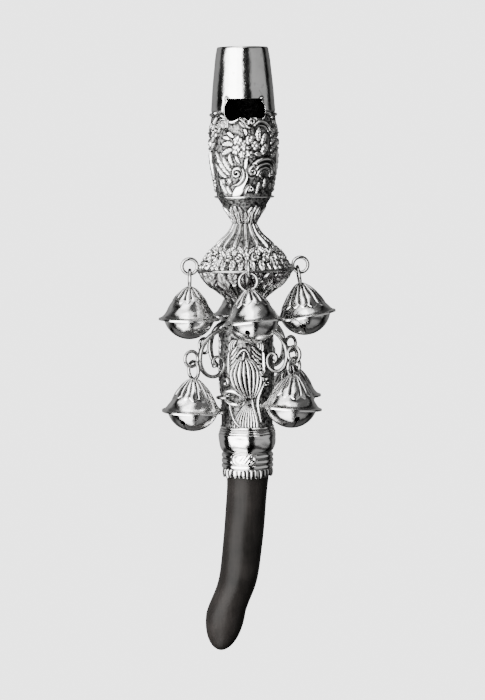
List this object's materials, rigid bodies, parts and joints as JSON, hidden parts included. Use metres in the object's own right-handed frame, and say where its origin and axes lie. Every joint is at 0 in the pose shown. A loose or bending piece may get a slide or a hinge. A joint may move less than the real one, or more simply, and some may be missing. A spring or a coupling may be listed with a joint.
{
  "type": "baby rattle",
  "caption": "Silver baby rattle with a whistle mouthpiece, hanging bells on a chased stem and a curved coral teether.",
  "frame": {"origin": "on the axis at the middle of the ferrule, where the hand closes round the rattle", "axes": "+Z along the stem towards the mouthpiece, -Y towards the front with the whistle window, +X to the right seen from the front"},
  "size_m": [0.0457, 0.0454, 0.1562],
  "materials": {
    "silver_chased": "chased silver, bright on the raised work and dark in the hollows",
    "silver_polished": "polished silver with soft wear",
    "silver_wire": "drawn silver wire and strap, slightly tarnished",
    "pea_metal": "dark rough metal",
    "coral": "polished coral, smooth with a satin gloss",
    "cement": "dark setting pitch"
  },
  "bodies": {
    "stem_assembly": {"whistle_tube": "silver_chased", "fipple_block": "silver_polished", "whistle_floor": "silver_polished", "flange_ring": "silver_polished", "cup_shell": "silver_chased", "knop_top": "silver_chased", "knop_base": "silver_chased", "knop_seam_wire": "silver_wire", "stem_tube": "silver_chased", "ferrule": "silver_polished", "ferrule_plaque": "silver_polished", "crimp_edge": "silver_polished", "coral": "coral", "coral_cement": "cement", "suspension_staple": "silver_wire", "upper_eye_right": "silver_wire", "upper_eye_back": "silver_wire", "upper_eye_left": "silver_wire", "upper_eye_front": "silver_wire", "bracket_front_left": "silver_wire", "lower_eye_front_left": "silver_wire", "bracket_front_right": "silver_wire", "lower_eye_front_right": "silver_wire", "bracket_back_right": "silver_wire", "lower_eye_back_right": "silver_wire", "bracket_back_left": "silver_wire", "lower_eye_back_left": "silver_wire"},
    "suspension_ring": {"suspension_ring": "silver_wire"},
    "bell_upper_front": {"upper_front_dome": "silver_chased", "upper_front_bowl": "silver_polished", "upper_front_loop": "silver_wire"},
    "pea_upper_front": {"upper_front_pea": "pea_metal"},
    "bell_upper_right": {"upper_right_dome": "silver_chased", "upper_right_bowl": "silver_polished", "upper_right_loop": "silver_wire"},
    "pea_upper_right": {"upper_right_pea": "pea_metal"},
    "bell_upper_back": {"upper_back_dome": "silver_chased", "upper_back_bowl": "silver_polished", "upper_back_loop": "silver_wire"},
    "pea_upper_back": {"upper_back_pea": "pea_metal"},
    "bell_upper_left": {"upper_left_dome": "silver_chased", "upper_left_bowl": "silver_polished", "upper_left_loop": "silver_wire"},
    "pea_upper_left": {"upper_left_pea": "pea_metal"},
    "bell_lower_front_left": {"lower_front_left_dome": "silver_chased", "lower_front_left_bowl": "silver_polished", "lower_front_left_loop": "silver_wire"},
    "pea_lower_front_left": {"lower_front_left_pea": "pea_metal"},
    "bell_lower_front_right": {"lower_front_right_dome": "silver_chased", "lower_front_right_bowl": "silver_polished", "lower_front_right_loop": "silver_wire"},
    "pea_lower_front_right": {"lower_front_right_pea": "pea_metal"},
    "bell_lower_back_right": {"lower_back_right_dome": "silver_chased", "lower_back_right_bowl": "silver_polished", "lower_back_right_loop": "silver_wire"},
    "pea_lower_back_right": {"lower_back_right_pea": "pea_metal"}
  },
  "joints": [
    {"name": "swing_upper_front", "type": "hinge", "parent": "stem_assembly", "child": "bell_upper_front", "pos_m": [0.00075, -0.01423, 0.04427], "axis": [-0.9986, -0.0523, 0], "range_deg": [-3, 75]},
    {"name": "rattle_upper_front", "type": "hinge", "parent": "bell_upper_front", "child": "pea_upper_front", "pos_m": [0.00165, -0.01525, 0.03324], "axis": [-0.9986, -0.0523, 0], "range_deg": [-40, 40]},
    {"name": "swing_upper_right", "type": "hinge", "parent": "stem_assembly", "child": "bell_upper_right", "pos_m": [0.01343, 0.0007, 0.04473], "axis": [0.0523, -0.9986, 0], "range_deg": [-6, 70]},
    {"name": "rattle_upper_right", "type": "hinge", "parent": "bell_upper_right", "child": "pea_upper_right", "pos_m": [0.01516, 0.0008, 0.03375], "axis": [0.0523, -0.9986, 0], "range_deg": [-40, 40]},
    {"name": "swing_upper_back", "type": "hinge", "parent": "stem_assembly", "child": "bell_upper_back", "pos_m": [-0.00075, 0.01423, 0.04427], "axis": [0.9986, 0.0523, 0], "range_deg": [-3, 75]},
    {"name": "rattle_upper_back", "type": "hinge", "parent": "bell_upper_back", "child": "pea_upper_back", "pos_m": [-0.00075, 0.01423, 0.03315], "axis": [0.9986, 0.0523, 0], "range_deg": [-40, 40]},
    {"name": "swing_upper_left", "type": "hinge", "parent": "stem_assembly", "child": "bell_upper_left", "pos_m": [-0.01423, -0.00075, 0.04427], "axis": [-0.0523, 0.9986, 0], "range_deg": [-4, 75]},
    {"name": "rattle_upper_left", "type": "hinge", "parent": "bell_upper_left", "child": "pea_upper_left", "pos_m": [-0.01452, -0.00076, 0.03315], "axis": [-0.0523, 0.9986, 0], "range_deg": [-40, 40]},
    {"name": "swing_lower_front_left", "type": "hinge", "parent": "stem_assembly", "child": "bell_lower_front_left", "pos_m": [-0.01339, -0.00937, 0.02154], "axis": [-0.5736, 0.8192, 0], "range_deg": [-2, 75]},
    {"name": "rattle_lower_front_left", "type": "hinge", "parent": "bell_lower_front_left", "child": "pea_lower_front_left", "pos_m": [-0.01372, -0.00923, 0.01043], "axis": [-0.5736, 0.8192, 0], "range_deg": [-40, 40]},
    {"name": "swing_lower_front_right", "type": "hinge", "parent": "stem_assembly", "child": "bell_lower_front_right", "pos_m": [0.01211, -0.01091, 0.02227], "axis": [-0.6691, -0.7431, 0], "range_deg": [-1, 75]},
    {"name": "rattle_lower_front_right", "type": "hinge", "parent": "bell_lower_front_right", "child": "pea_lower_front_right", "pos_m": [0.01129, -0.0111, 0.01119], "axis": [-0.6691, -0.7431, 0], "range_deg": [-40, 40]},
    {"name": "swing_lower_back_right", "type": "hinge", "parent": "stem_assembly", "child": "bell_lower_back_right", "pos_m": [0.01173, 0.01258, 0.02277], "axis": [0.7314, -0.682, 0], "range_deg": [-4, 75]},
    {"name": "rattle_lower_back_right", "type": "hinge", "parent": "bell_lower_back_right", "child": "pea_lower_back_right", "pos_m": [0.01173, 0.01258, 0.01165], "axis": [0.7314, -0.682, 0], "range_deg": [-40, 40]},
    {"name": "turn_suspension_ring", "type": "hinge", "parent": "stem_assembly", "child": "suspension_ring", "pos_m": [-0.00577, -0.00785, 0.012], "axis": [0, 0, -1], "range_deg": [0, 70]}
  ]
}
